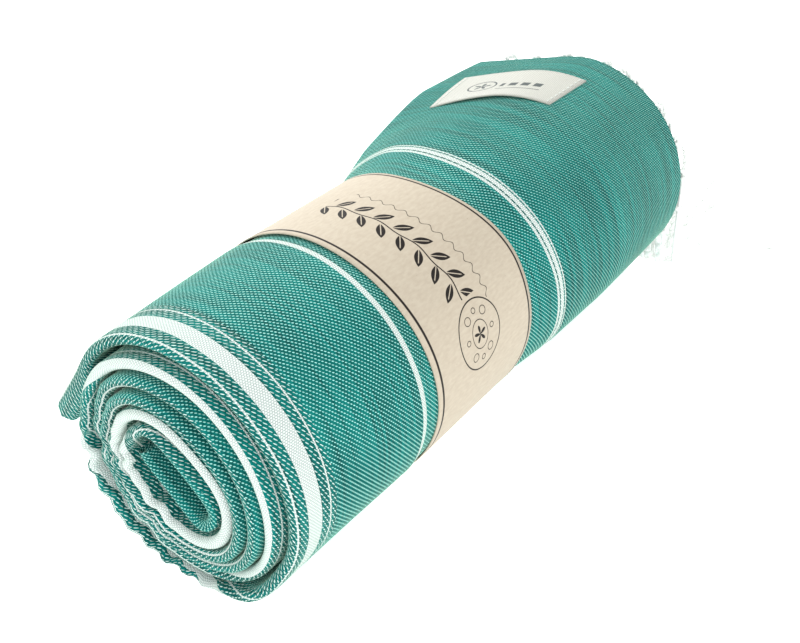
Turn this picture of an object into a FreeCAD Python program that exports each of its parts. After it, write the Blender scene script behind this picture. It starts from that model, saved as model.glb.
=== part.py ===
import FreeCAD, Part
import math
import os

# One flat-woven towel, folded lengthwise into a stack, rolled up across its width and held by a
# paper belly band. The roll lies along X: its near end (folded edges) is at -X, its far end
# (raw edges with a knotted fringe) is at +X. Z is up and the roll rests on Z = 0.
# Millimetres throughout.

# ---- the towel -------------------------------------------------------------------------------
ROLL_LENGTH = 225.0          # the cloth's length folded in half three times
FOLD_STACK = 5.7             # eight layers of cloth
TURN_GAP = 0.3               # air between one turn of the roll and the next
PITCH = FOLD_STACK + TURN_GAP
RADIUS_AT_END = 45.2         # outer radius of the roll where the loose end leaves it
HALF_TURNS = 11              # whole half turns from the loose end to the core
CORE_RADIUS = 8.0            # outer radius of the last, hooked half turn
LOOSE_END_ANGLE = 34.0       # degrees above +Y where the near flap leaves the roll
WRAP_END_ANGLE = -20.6       # degrees, where the loose end stops under the band
PRESSED_FLAT = 1.6           # how far the roll's own weight flattens its underside
UNDER_BAND = 0.8             # height of the underside where the band has to pass
FOOT_START_X = 25.0          # from here to the far end the underside stands on Z = 0

# ---- the two corners of the loose end, which stand away from the roll --------------------------
NEAR_FLAP_LENGTH = 33.0
NEAR_FLAP_END_X = -58.0
SHOULDER_ANGLE = 76.0        # degrees above +Y where the cloth leaves the roll at the far end
SHOULDER_LENGTH = 34.0
SHOULDER_START_X = 40.0
FAR_FLAP_LENGTH = 30.0
FAR_FLAP_DROP = 80.0         # degrees below +Y that the far flap points
FLAP_GAP = 0.4               # open slit at each flap's root
TIP_ROUNDING = 2.6

# ---- the paper band ----------------------------------------------------------------------------
BAND_NEAR_X = -50.0
BAND_WIDTH = 54.0
BAND_PAPER = 0.4
BAND_CLEARANCE = 0.35
BAND_LAP = 16.0
GLUE_THICKNESS = 0.1

# ---- the sewn label ----------------------------------------------------------------------------
LABEL_X = 56.0
LABEL_WIDTH = 25.0
LABEL_CLOTH = 0.8
LABEL_START_ANGLE = 101.0    # degrees above +Y of the label's front end
LABEL_ON_SHOULDER = 21.0     # how far it runs on past the crest
STITCH_COUNT = 9
STITCH_SIZE = (0.6, 0.5)     # how wide and how thick one stitch is
STITCH_LENGTH = 1.8
STITCH_INSET = 1.4

# ---- the fringe ----------------------------------------------------------------------------------
TASSEL_DIAMETER = 2.0
KNOT_RADIUS = 1.9
KNOT_LENGTH = 4.2
TAIL_LENGTH = 8.0
TAIL_RADII = (1.0, 1.8)
ARC_SHARE = 0.45             # share of the shorter run that an arc takes at a corner

# Each tassel's route, from the raw edge of the cloth to its knot.
TASSEL_ROUTES = {
    "tassel_01": [(112.5, 1.9, 2.6), (118, 1.9, 2.6), (124, 3.0, 1.5), (132, 5.5, 1.1),
                  (142, 6.5, 1.1), (153, 4.0, 1.1), (165, 3.5, 1.5), (171, 4.5, 2.1)],
    "tassel_02": [(112.5, -7.9, 2.4), (118.5, -7.9, 2.4), (126, -9.2, 1.3), (136, -12.5, 1.1),
                  (147, -13.0, 1.1), (158, -10.0, 1.1), (169, -9.5, 1.4), (176, -11, 2.1)],
    "tassel_03": [(112.5, -17.7, 2.9), (118, -17.7, 2.9), (125, -20, 1.5), (134, -24.5, 1.1),
                  (145, -28, 1.1), (157, -28.5, 1.1), (169, -29.5, 1.1), (178, -31, 1.5),
                  (184, -31.2, 2.1)],
    "tassel_04": [(112.5, -26.9, 6.3), (117.5, -26.9, 6.3), (122.5, -28.6, 4.4),
                  (128, -31, 2.2), (135, -34, 1.1), (144, -37, 1.1), (154, -38.3, 1.1),
                  (164, -38.4, 1.5), (170, -38.8, 2.1)],
    "tassel_05": [(112.5, -34.7, 12.3), (117.5, -34.7, 12.3), (122.5, -35.7, 9.6),
                  (126.5, -36.8, 6.2), (131, -38, 2.6), (136.5, -40, 1.1), (141.2, -44.8, 1.1),
                  (144.2, -51.8, 1.1), (146.5, -58.8, 1.2), (149.5, -64.8, 1.6),
                  (152, -68.8, 2.1)],
    "tassel_06": [(112.5, -26.2, 13.0), (117, -26.2, 13.0), (122, -26.4, 10.5),
                  (126.5, -26.7, 7.0), (130.5, -27.8, 3.3), (136, -29.6, 1.1),
                  (144, -32.2, 1.1), (153, -33.6, 1.1), (162, -33.8, 1.5), (167, -33.9, 2.1)],
    "tassel_07": [(112.5, -7.9, 7.3), (117.5, -7.9, 7.3), (122.5, -10.9, 5.4),
                  (128.5, -15, 2.4), (136, -18.5, 1.1), (146, -20, 1.1), (156, -20.2, 1.1),
                  (164, -18.7, 1.5), (169.5, -17.5, 2.1)],
    "tassel_08": [(112.5, 8.0, 11.5), (117.5, 8.0, 11.5), (122.3, 9, 8.7), (126, 10, 5.2),
                  (130.5, 11.5, 2.3), (137, 13.5, 1.1), (146, 14.5, 1.1), (156, 13.5, 1.1),
                  (164, 13, 1.5), (169, 13.5, 2.1)],
    "tassel_09": [(112.5, -42.5, 58.1), (117, -42.5, 58.1), (121.2, -43.4, 55.4),
                  (123.6, -43.9, 51.2), (124.4, -44.2, 45), (124.2, -44.0, 35),
                  (123.6, -43.2, 25), (123.4, -42.8, 16)],
    "tassel_10": [(112.5, -31.7, 72.1), (117, -31.7, 72.1), (121.4, -32.3, 69.6),
                  (124.2, -32.8, 65.4), (125.2, -33.2, 59), (125, -33, 49),
                  (124.4, -32.2, 37), (124, -31.6, 27), (123.8, -31.4, 20)],
    "tassel_11": [(112.5, -16, 80.3), (117.2, -16, 80.3), (121.6, -16.6, 78),
                  (124.4, -17.2, 73.8), (125.6, -17.6, 67.4), (125.4, -17.4, 57),
                  (124.8, -16.6, 45), (124.4, -16, 35), (124.2, -15.8, 28)],
    "tassel_12": [(112.5, 1.6, 81.0), (117, 1.6, 81.0), (121.2, 2.2, 78.6), (123.9, 2.8, 74.4),
                  (125, 3.2, 68), (124.8, 3, 58), (124.2, 2.2, 46), (123.8, 1.6, 36),
                  (123.6, 1.4, 29)],
    "tassel_13": [(112.5, 31.6, 73.5), (117, 31.6, 73.5), (121, 32.6, 71), (123.4, 33.2, 66.8),
                  (124.2, 33.5, 60.4), (124, 33.3, 51), (123.5, 32.6, 40), (123.2, 32.2, 31),
                  (123, 32, 24)],
    "tassel_14": [(112.5, 17.9, 39.1), (117, 17.9, 39.1), (120.9, 18.5, 36.3), (123, 19, 32),
                  (123.8, 19.3, 25.8), (123.9, 19.4, 18), (124.8, 20, 10.8), (127.6, 21.6, 4.8),
                  (132.6, 24, 1.6), (138.6, 26.2, 1.3), (143.5, 27.6, 2.1)],
}

NEAR_X = -ROLL_LENGTH / 2
FAR_X = ROLL_LENGTH / 2


def direction(degrees):
    """A unit vector in the YZ plane, measured from +Y towards +Z."""
    angle = math.radians(degrees)
    return FreeCAD.Vector(0, math.cos(angle), math.sin(angle))


def prism(edges, start_x, length):
    """The closed outline's face, extruded along X."""
    face = Part.Face(Part.Wire(edges))
    face.translate(FreeCAD.Vector(start_x, 0, 0))
    return face.extrude(FreeCAD.Vector(length, 0, 0))


def polygon_edges(points):
    closed = list(points) + [points[0]]
    return [Part.makeLine(a, b) for a, b in zip(closed, closed[1:])]


def box_between(low, high):
    size = [b - a for a, b in zip(low, high)]
    return Part.makeBox(*size, FreeCAD.Vector(*low))


# The roll's section is a spiral of half circles. Their centres take turns on two points either
# side of the axis, and each one's radius is half a pitch less than the last.
CENTRE_STEP = direction(LOOSE_END_ANGLE) * (PITCH / 4)


def half_turn_radius(number):
    return RADIUS_AT_END - PITCH / 4 - number * PITCH / 2


AXIS_Z = half_turn_radius(1) - PRESSED_FLAT + CENTRE_STEP.z
AXIS = FreeCAD.Vector(0, 0, AXIS_Z)


def half_turn_centre(number):
    return AXIS + (CENTRE_STEP if number % 2 == 0 else CENTRE_STEP * -1)


def spiral_arc(number, start, end, inward=0.0):
    """Part of one half turn, between two angles in degrees, a given depth below its surface."""
    centre = half_turn_centre(number)
    radius = half_turn_radius(number) - inward
    points = [centre + direction(a) * radius for a in (start, (start + end) / 2, end)]
    return Part.Arc(*points).toShape()


def spiral_side(inward):
    """All the edges of one side of the cloth stack, from the loose end to the core."""
    edges = [spiral_arc(-1, WRAP_END_ANGLE, LOOSE_END_ANGLE, inward)]
    for number in range(HALF_TURNS):
        start = LOOSE_END_ANGLE + 180 * number
        edges.append(spiral_arc(number, start, start + 180, inward))
    last = HALF_TURNS - 1
    end_angle = LOOSE_END_ANGLE + 180 * HALF_TURNS
    hook_start = half_turn_centre(last) + direction(end_angle) * half_turn_radius(last)
    hook_centre = hook_start - direction(end_angle) * CORE_RADIUS
    angles = (end_angle, end_angle + 90, end_angle + 180)
    hook = [hook_centre + direction(a) * (CORE_RADIUS - inward) for a in angles]
    edges.append(Part.Arc(*hook).toShape())
    return edges


def ring_sector(number, start, end, depth, start_x, length):
    """A block that takes the outermost layer of cloth off between two angles."""
    outside = -10.0
    edges = [
        spiral_arc(number, start, end, outside),
        spiral_arc(number, start, end, depth),
    ]
    centre = half_turn_centre(number)
    for angle in (start, end):
        a = centre + direction(angle) * (half_turn_radius(number) - outside)
        b = centre + direction(angle) * (half_turn_radius(number) - depth)
        edges.append(Part.makeLine(a, b))
    return prism(Part.__sortEdges__(edges), start_x, length)


def shoulder_corner():
    """The root and the crease of the cloth that leaves the roll at the far end."""
    root = half_turn_centre(0) + direction(SHOULDER_ANGLE) * half_turn_radius(0)
    along = direction(SHOULDER_ANGLE - 90)
    return root, along, root + along * SHOULDER_LENGTH


def mitre(along, onward):
    """The inward line that halves the angle at the crease, as long as the cloth is thick there."""
    half = math.acos(along.dot(onward)) / 2
    inward = (onward - along).normalize()
    return inward * (FOLD_STACK / math.cos(half))


def make_rolled_towel():
    outer = spiral_side(0.0)
    inner = spiral_side(FOLD_STACK)
    ends = [
        Part.makeLine(outer[0].valueAt(outer[0].FirstParameter),
                      inner[0].valueAt(inner[0].FirstParameter)),
        Part.makeLine(outer[-1].valueAt(outer[-1].LastParameter),
                      inner[-1].valueAt(inner[-1].LastParameter)),
    ]
    length = sum(e.Length for e in spiral_side(FOLD_STACK / 2))
    print("cloth stack along the spiral: %.0f mm" % length)
    roll = prism(Part.__sortEdges__(outer + inner + ends), NEAR_X, ROLL_LENGTH)
    depth = FOLD_STACK + TURN_GAP / 2
    below = WRAP_END_ANGLE - 6
    near = (NEAR_X - 1, NEAR_FLAP_END_X - NEAR_X + 1)
    far = (SHOULDER_START_X, FAR_X - SHOULDER_START_X + 1)
    for start_x, span in (near, far):
        roll = roll.cut(ring_sector(-1, below, LOOSE_END_ANGLE, depth, start_x, span))
    roll = roll.cut(ring_sector(0, LOOSE_END_ANGLE, SHOULDER_ANGLE, depth, *far))
    underside = box_between((NEAR_X - 1, -60, -10), (FAR_X + 1, 60, 0))
    channel = box_between((NEAR_X - 1, -60, -10), (FOOT_START_X, 60, UNDER_BAND))
    return roll.cut(underside.fuse(channel)).removeSplitter()


def make_shoulder():
    """The outer layer of the far half, raised from the roll between the crest and the crease."""
    root, along, crease = shoulder_corner()
    inner = half_turn_centre(0) + direction(SHOULDER_ANGLE) * (half_turn_radius(0) - FOLD_STACK)
    corner = crease + mitre(along, direction(-FAR_FLAP_DROP))
    outline = polygon_edges([root, crease, corner, inner])
    return prism(outline, SHOULDER_START_X, FAR_X - SHOULDER_START_X)


def rounded_tip(shape, point, along):
    """Rounds the two long edges at a flap's free end."""
    tip = [e for e in shape.Edges
           if abs(e.Length - shape.BoundBox.XLength) < 0.01
           and abs((e.CenterOfMass - point).dot(along)) < 0.01]
    return shape.makeFillet(TIP_ROUNDING, tip)


def make_near_flap():
    outward = direction(LOOSE_END_ANGLE)
    along = direction(LOOSE_END_ANGLE - 90)
    root = AXIS + outward * RADIUS_AT_END + along * FLAP_GAP
    tip = root + along * NEAR_FLAP_LENGTH
    inward = outward * -FOLD_STACK
    outline = polygon_edges([root, tip, tip + inward, root + inward])
    flap = prism(outline, NEAR_X, NEAR_FLAP_END_X - NEAR_X - 1)
    return rounded_tip(flap, tip, along)


def make_far_flap():
    shoulder, along, crease = shoulder_corner()
    onward = direction(-FAR_FLAP_DROP)
    slit = onward * FLAP_GAP
    corner = crease + mitre(along, onward)
    inward = direction(-FAR_FLAP_DROP - 90) * FOLD_STACK
    tip = crease + onward * FAR_FLAP_LENGTH
    outline = polygon_edges([crease + slit, tip, tip + inward, corner + slit])
    flap = prism(outline, SHOULDER_START_X, FAR_X - SHOULDER_START_X)
    return rounded_tip(flap, tip, onward)


def band_outline():
    """The edges of the tight outline round the roll, and the two ends of the straight part that
    bridges the step at the loose end."""
    centre = half_turn_centre(1)
    radius = half_turn_radius(1)
    flat_z = UNDER_BAND
    half_flat = math.sqrt(radius ** 2 - (centre.z - flat_z) ** 2)
    flat = math.degrees(math.asin(half_flat / radius))
    end = half_turn_centre(-1) + direction(WRAP_END_ANGLE) * half_turn_radius(-1)
    bridge = WRAP_END_ANGLE - math.degrees(math.acos(radius / half_turn_radius(-1)))
    meet = centre + direction(bridge) * radius
    edges = [
        spiral_arc(-1, WRAP_END_ANGLE, LOOSE_END_ANGLE),
        spiral_arc(0, LOOSE_END_ANGLE, LOOSE_END_ANGLE + 180),
        spiral_arc(1, LOOSE_END_ANGLE + 180, 270 - flat),
        Part.makeLine(centre + direction(270 - flat) * radius,
                      centre + direction(270 + flat) * radius),
        spiral_arc(1, 270 + flat, bridge + 360),
        Part.makeLine(meet, end),
    ]
    return edges, meet, end


def make_band():
    face = Part.Face(Part.Wire(band_outline()[0]))
    inner = face.makeOffset2D(BAND_CLEARANCE)
    outer = face.makeOffset2D(BAND_CLEARANCE + BAND_PAPER)
    ring = Part.Face(outer.OuterWire).cut(Part.Face(inner.OuterWire))
    ring.translate(FreeCAD.Vector(BAND_NEAR_X, 0, 0))
    return ring.extrude(FreeCAD.Vector(BAND_WIDTH, 0, 0)).Solids[0]


def strip_on_bridge(low, high, inset):
    """A flat strip over the band's straight stretch, between two heights above the paper."""
    meet, end = band_outline()[1:]
    along = (end - meet).normalize()
    outward = FreeCAD.Vector(0, along.z, -along.y)
    start = (meet + end) * 0.5 - along * (BAND_LAP / 2 - inset)
    stop = start + along * (BAND_LAP - 2 * inset)
    base = BAND_CLEARANCE + BAND_PAPER
    corners = [start + outward * (base + low), stop + outward * (base + low),
               stop + outward * (base + high), start + outward * (base + high)]
    return prism(polygon_edges(corners), BAND_NEAR_X + inset, BAND_WIDTH - 2 * inset)


def label_side(height):
    """One face of the label, over the crest and on to the shoulder, as edges and end points."""
    centre = half_turn_centre(0)
    radius = half_turn_radius(0) + height
    front = centre + direction(LABEL_START_ANGLE) * radius
    middle = centre + direction((LABEL_START_ANGLE + SHOULDER_ANGLE) / 2) * radius
    crest = centre + direction(SHOULDER_ANGLE) * radius
    back = crest + direction(SHOULDER_ANGLE - 90) * LABEL_ON_SHOULDER
    return [Part.Arc(front, middle, crest).toShape(), Part.makeLine(crest, back)], front, back


def make_label():
    lower, front_low, back_low = label_side(0.05)
    upper, front_high, back_high = label_side(0.05 + LABEL_CLOTH)
    ends = [Part.makeLine(front_low, front_high), Part.makeLine(back_low, back_high)]
    return prism(Part.__sortEdges__(lower + upper + ends), LABEL_X, LABEL_WIDTH)


def make_label_stitches():
    """Two rows of short stitches, one across each end of the label."""
    front, back = label_side(0.05 + LABEL_CLOTH)[1:]
    wide, thick = STITCH_SIZE
    step = (LABEL_WIDTH - 2 * STITCH_INSET) / STITCH_COUNT
    solids = []
    for end, angle, inset in ((front, LABEL_START_ANGLE, STITCH_INSET),
                              (back, SHOULDER_ANGLE, -STITCH_INSET - wide)):
        base = end + direction(angle - 90) * inset + direction(angle) * 0.02
        for number in range(STITCH_COUNT):
            stitch = Part.makeBox(STITCH_LENGTH, wide, thick)
            stitch.rotate(FreeCAD.Vector(0, 0, 0), FreeCAD.Vector(1, 0, 0), angle - 90)
            x = LABEL_X + STITCH_INSET + number * step + (step - STITCH_LENGTH) / 2
            stitch.translate(base + FreeCAD.Vector(x, 0, 0))
            solids.append(stitch)
    return Part.makeCompound(solids)


def rounded_path(points):
    """Straight runs joined by tangent arcs, and the smallest arc's radius."""
    edges = []
    radii = []
    start = points[0]
    for before, corner, after in zip(points, points[1:], points[2:]):
        inward = (before - corner).normalize()
        outward = (after - corner).normalize()
        turn = math.pi - inward.getAngle(outward)
        cut = ARC_SHARE * min((corner - before).Length, (after - corner).Length)
        radius = cut / math.tan(turn / 2)
        first = corner + inward * cut
        last = corner + outward * cut
        inside = (inward + outward).normalize()
        middle = corner + inside * (radius / math.cos(turn / 2) - radius)
        edges.append(Part.makeLine(start, first))
        edges.append(Part.Arc(first, middle, last).toShape())
        radii.append(radius)
        start = last
    edges.append(Part.makeLine(start, points[-1]))
    return Part.Wire(edges), min(radii)


def make_tassel(name, route):
    """The twisted part of a tassel, and the knot with the short loose ends beyond it."""
    points = [FreeCAD.Vector(*p) for p in route]
    path, tightest = rounded_path(points)
    start = (points[1] - points[0]).normalize()
    circle = Part.Wire(Part.makeCircle(TASSEL_DIAMETER / 2, points[0], start))
    tube = path.makePipeShell([circle], True, False)
    section = math.pi * (TASSEL_DIAMETER / 2) ** 2
    print("%s: %.1f mm long, tightest radius %.1f mm, volume %.3f of section x length"
          % (name, path.Length, tightest, tube.Volume / (section * path.Length)))
    onward = (points[-1] - points[-2]).normalize()
    knot = Part.makeCylinder(KNOT_RADIUS, KNOT_LENGTH, points[-1], onward)
    knot = knot.makeFillet(0.8, [e for e in knot.Edges if e.Curve.TypeId == "Part::GeomCircle"])
    tail = Part.makeCone(*TAIL_RADII, TAIL_LENGTH, points[-1] + onward * KNOT_LENGTH, onward)
    return tube, knot.fuse(tail)


os.makedirs("parts", exist_ok=True)

band_lap = strip_on_bridge(GLUE_THICKNESS, GLUE_THICKNESS + BAND_PAPER, 0.0)
band_glue = strip_on_bridge(0.0, GLUE_THICKNESS, 3.0)
nodes = {
    "rolled_towel": make_rolled_towel(),
    "towel_shoulder": make_shoulder(),
    "near_flap": make_near_flap(),
    "far_flap": make_far_flap(),
    "paper_band": make_band(),
    "band_lap": band_lap,
    "band_glue": band_glue,
    "towel_label": make_label(),
    "label_stitches": make_label_stitches(),
}

# The origin is under the middle of the roll and its flaps, so the roll's axis stands to one side.
boxes = [shape.BoundBox for shape in nodes.values()]
middle_y = (min(b.YMin for b in boxes) + max(b.YMax for b in boxes)) / 2
print("roll axis at y = %.2f, z = %.2f" % (-middle_y, AXIS_Z))
for shape in nodes.values():
    shape.translate(FreeCAD.Vector(0, -middle_y, 0))

for tassel, route in TASSEL_ROUTES.items():
    twist, knot = make_tassel(tassel, route)
    nodes[tassel] = twist
    nodes[tassel.replace("tassel", "knot")] = knot

for name, shape in nodes.items():
    box = shape.BoundBox
    print("%-16s solids %d valid %s x %.1f..%.1f y %.1f..%.1f z %.2f..%.2f"
          % (name, len(shape.Solids), shape.isValid(), box.XMin, box.XMax, box.YMin, box.YMax,
             box.ZMin, box.ZMax))
    shape.exportStep("parts/%s.step" % name)

near_hinge = AXIS + direction(LOOSE_END_ANGLE) * RADIUS_AT_END
far_hinge = shoulder_corner()[2]
for name, point in (("near flap hinge", near_hinge), ("far flap hinge", far_hinge)):
    print("%s at y = %.3f, z = %.3f" % (name, point.y - middle_y, point.z))
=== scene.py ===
import math
import bpy
import numpy as np
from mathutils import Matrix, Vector
from mathutils.bvhtree import BVHTree


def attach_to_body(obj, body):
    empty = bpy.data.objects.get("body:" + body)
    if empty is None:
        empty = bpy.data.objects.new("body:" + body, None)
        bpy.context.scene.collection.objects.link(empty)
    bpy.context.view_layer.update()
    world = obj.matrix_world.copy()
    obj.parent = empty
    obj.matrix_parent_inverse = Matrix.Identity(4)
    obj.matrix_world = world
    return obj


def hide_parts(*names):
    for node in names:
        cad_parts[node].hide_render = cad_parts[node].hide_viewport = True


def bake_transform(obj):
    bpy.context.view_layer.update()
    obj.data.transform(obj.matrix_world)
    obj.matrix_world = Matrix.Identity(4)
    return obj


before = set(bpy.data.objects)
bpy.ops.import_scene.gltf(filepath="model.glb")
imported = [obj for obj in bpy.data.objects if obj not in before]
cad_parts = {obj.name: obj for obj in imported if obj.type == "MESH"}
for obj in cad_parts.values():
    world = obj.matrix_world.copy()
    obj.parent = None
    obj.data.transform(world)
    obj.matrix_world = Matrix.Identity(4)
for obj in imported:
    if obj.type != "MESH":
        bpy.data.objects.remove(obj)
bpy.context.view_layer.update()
MM = 0.001

# ==== The cloth ====================================================================================
# One flat-woven cotton sheet, 0.94 x 1.78 m, folded in half three times along its length into a
# stack of eight layers and rolled up. Only friction and the paper band hold the roll closed.
AXIS_Y, AXIS_Z = -5.97, 39.94        # the roll's axis, in millimetres
STACK = 4.4                          # eight layers of cloth, pressed together
LAYER = STACK / 8
HALF_LENGTH = 112.5                  # the roll runs this far each way from the origin
OUTER_RADIUS = 45.2
LOOSE_END = 34.0                     # degrees above +Y where the near corner leaves the roll
WRAP_END = -20.6                     # degrees, where the loose end stops under the band
SHOULDER = 76.0                      # degrees where the far corner leaves the roll
LAST_ANGLE = LOOSE_END + 360 * 5.9   # the roll's core
OVAL_TILT = 38.0                     # the core is oval; its long axis leans by this much


def smooth(low, high, x):
    """0 before low and 1 after high, with a soft start and end."""
    t = np.clip((np.asarray(x, float) - low) / (high - low), 0, 1)
    return t * t * (3 - 2 * t)


def direction(degrees):
    a = np.radians(degrees)
    return np.stack([np.cos(a), np.sin(a)], -1)


def eased(x, places, values):
    """Reads a table of values smoothly, with no corner at its entries."""
    fine = np.linspace(places[0], places[-1], 1200)
    read = np.interp(fine, places, values)
    width = 61
    padded = np.pad(read, width // 2, mode="reflect", reflect_type="odd")
    read = np.convolve(padded, np.ones(width) / width, "valid")
    return np.interp(x, fine, read)


def stack_centre(theta):
    """The middle of the folded stack at each angle, in the YZ plane."""
    turn = (theta - LOOSE_END) / 360
    long_half = eased(turn, [-0.2, 0, 0.5, 1, 1.5, 2, 2.5, 3, 3.5, 4, 4.5, 5, 5.5, 6.1],
                      [43.8, 43, 40, 37.1, 35.3, 32.2, 30.9, 27.2, 26.5, 22.2, 22, 17, 17, 11])
    short_half = eased(turn, [-0.2, 0, 0.26, 0.76, 1.26, 1.76, 2.26, 2.76, 3.26, 3.76, 4.26,
                              4.76, 5.26, 5.76, 6.1],
                       [43.8, 43, 41.4, 38.8, 35.6, 34.2, 29.8, 28.8, 24, 23.4, 17.8, 16.6,
                        9.5, 5, 4])
    phi = np.radians(theta - OVAL_TILT)
    along = (long_half - short_half) * np.tanh(3 * np.cos(phi)) / np.tanh(3)
    along = along + short_half * np.cos(phi)
    across = short_half * np.sin(phi)
    tilt = math.radians(OVAL_TILT)
    return np.stack([along * math.cos(tilt) - across * math.sin(tilt),
                     along * math.sin(tilt) + across * math.cos(tilt)], -1)


def normals_of(line):
    """Unit normals of a line in the YZ plane, to the right of its way: outwards on the roll."""
    step = np.gradient(line, axis=0)
    step /= np.linalg.norm(step, axis=1)[:, None]
    return np.stack([step[:, 1], -step[:, 0]], -1)


# Rows of the cloth, from the loose end to the core: close together at the creases and in the core.
fine_theta = np.linspace(WRAP_END, LAST_ANGLE, 24000)
fine_line = stack_centre(fine_theta)
fine_run = np.concatenate([[0], np.cumsum(np.linalg.norm(np.diff(fine_line, axis=0), axis=1))])
spacing = np.interp(fine_theta, [WRAP_END, 76, 100, 230, 250, 400, 430, 1400, 1500, LAST_ANGLE],
                    [1.35, 1.35, 3.2, 3.2, 2.0, 2.0, 2.9, 2.9, 1.9, 1.9])
row_count = np.concatenate([[0], np.cumsum(np.diff(fine_run) / spacing[1:])])
rows = int(row_count[-1])
row_theta = np.interp(np.linspace(0, row_count[-1], rows), row_count, fine_theta)
row_run = np.interp(row_theta, fine_theta, fine_run)
run_at_loose_end = float(np.interp(LOOSE_END, fine_theta, fine_run))
run_at_shoulder = float(np.interp(SHOULDER, fine_theta, fine_run))
row_line = stack_centre(row_theta)
row_out = normals_of(row_line)
TIP = 2.5                            # the loose end is rounded over this much of its run
row_tip = np.sqrt(1 - np.clip(1 - row_run / TIP, 0, 0.97) ** 2)

# The near corner hangs straight off the roll.
root = stack_centre(np.array([LOOSE_END]))[0]
near_out = direction(LOOSE_END)
near_along = direction(LOOSE_END - 90)
NEAR_CORNER = 34.5
back = np.clip(run_at_loose_end - row_run, 0, None)[:, None] * NEAR_CORNER / run_at_loose_end
near_line = np.where(row_theta[:, None] < LOOSE_END, root + near_along * back, row_line)
near_normal = np.where(row_theta[:, None] < LOOSE_END, near_out, row_out)

# The far corner runs straight from the crest to a crease, and hangs from there.
TO_CREASE, CREASE_RADIUS, CREASE_BEND, FAR_HANG = 30.6, 3.0, 66.0, 26.2
shoulder_root = stack_centre(np.array([SHOULDER]))[0]
bend_run = math.radians(CREASE_BEND) * CREASE_RADIUS
far_total = TO_CREASE + bend_run + FAR_HANG
far_back = np.clip(run_at_shoulder - row_run, 0, None) * far_total / run_at_shoulder
bend_centre = shoulder_root + direction(SHOULDER - 90) * TO_CREASE
bend_centre = bend_centre - direction(SHOULDER) * CREASE_RADIUS
bent = np.clip(far_back - TO_CREASE, 0, bend_run) / CREASE_RADIUS
far_angle = SHOULDER - np.degrees(bent)
far_line = np.where(
    (far_back < TO_CREASE)[:, None],
    shoulder_root + direction(SHOULDER - 90) * far_back[:, None],
    bend_centre + direction(far_angle) * CREASE_RADIUS)
hanging = np.clip(far_back - TO_CREASE - bend_run, 0, None)[:, None]
far_line = far_line + direction(SHOULDER - CREASE_BEND - 90) * hanging
beyond = (row_theta < SHOULDER)[:, None]
far_line = np.where(beyond, far_line, row_line)
far_normal = np.where(beyond, direction(far_angle), row_out)
crease_run = run_at_shoulder * (1 - (TO_CREASE + bend_run / 2) / far_total)

# How the roll swells and shrinks along its length: pinched by the band, full beyond it.
SWELL_X = [-113, -75, -56, -50, 0, 7, 14, 28, 60, 90, 113]
SWELL = [-0.3, 0.6, 0.9, -0.2, -1.5, -1.3, 0.1, 1.8, 2.2, 1.2, 0]
MEAN_RADIUS = 43.0
LOWEST, GIVES_OVER, SOFTNESS = -1.6, 8.0, 0.9   # the underside before it rests, and how it gives


def swollen(y, z, x):
    """Swells the roll's section about its axis, but not its underside."""
    scale = 1 + np.interp(x, SWELL_X, SWELL) * smooth(2, 27, z) / MEAN_RADIUS
    return y * scale, AXIS_Z + (z - AXIS_Z) * scale


def settled(y, z, x, floor):
    """Swells the roll's section, then rests its underside on the floor."""
    y, z = swollen(y, z, x)
    low = 1 - np.clip((z - LOWEST) / GIVES_OVER, 0, 1)
    above = z + (floor - LOWEST) * low ** 2 - floor
    return y, floor + 0.5 * (above + np.sqrt(above ** 2 + SOFTNESS ** 2)) - 0.1


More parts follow.
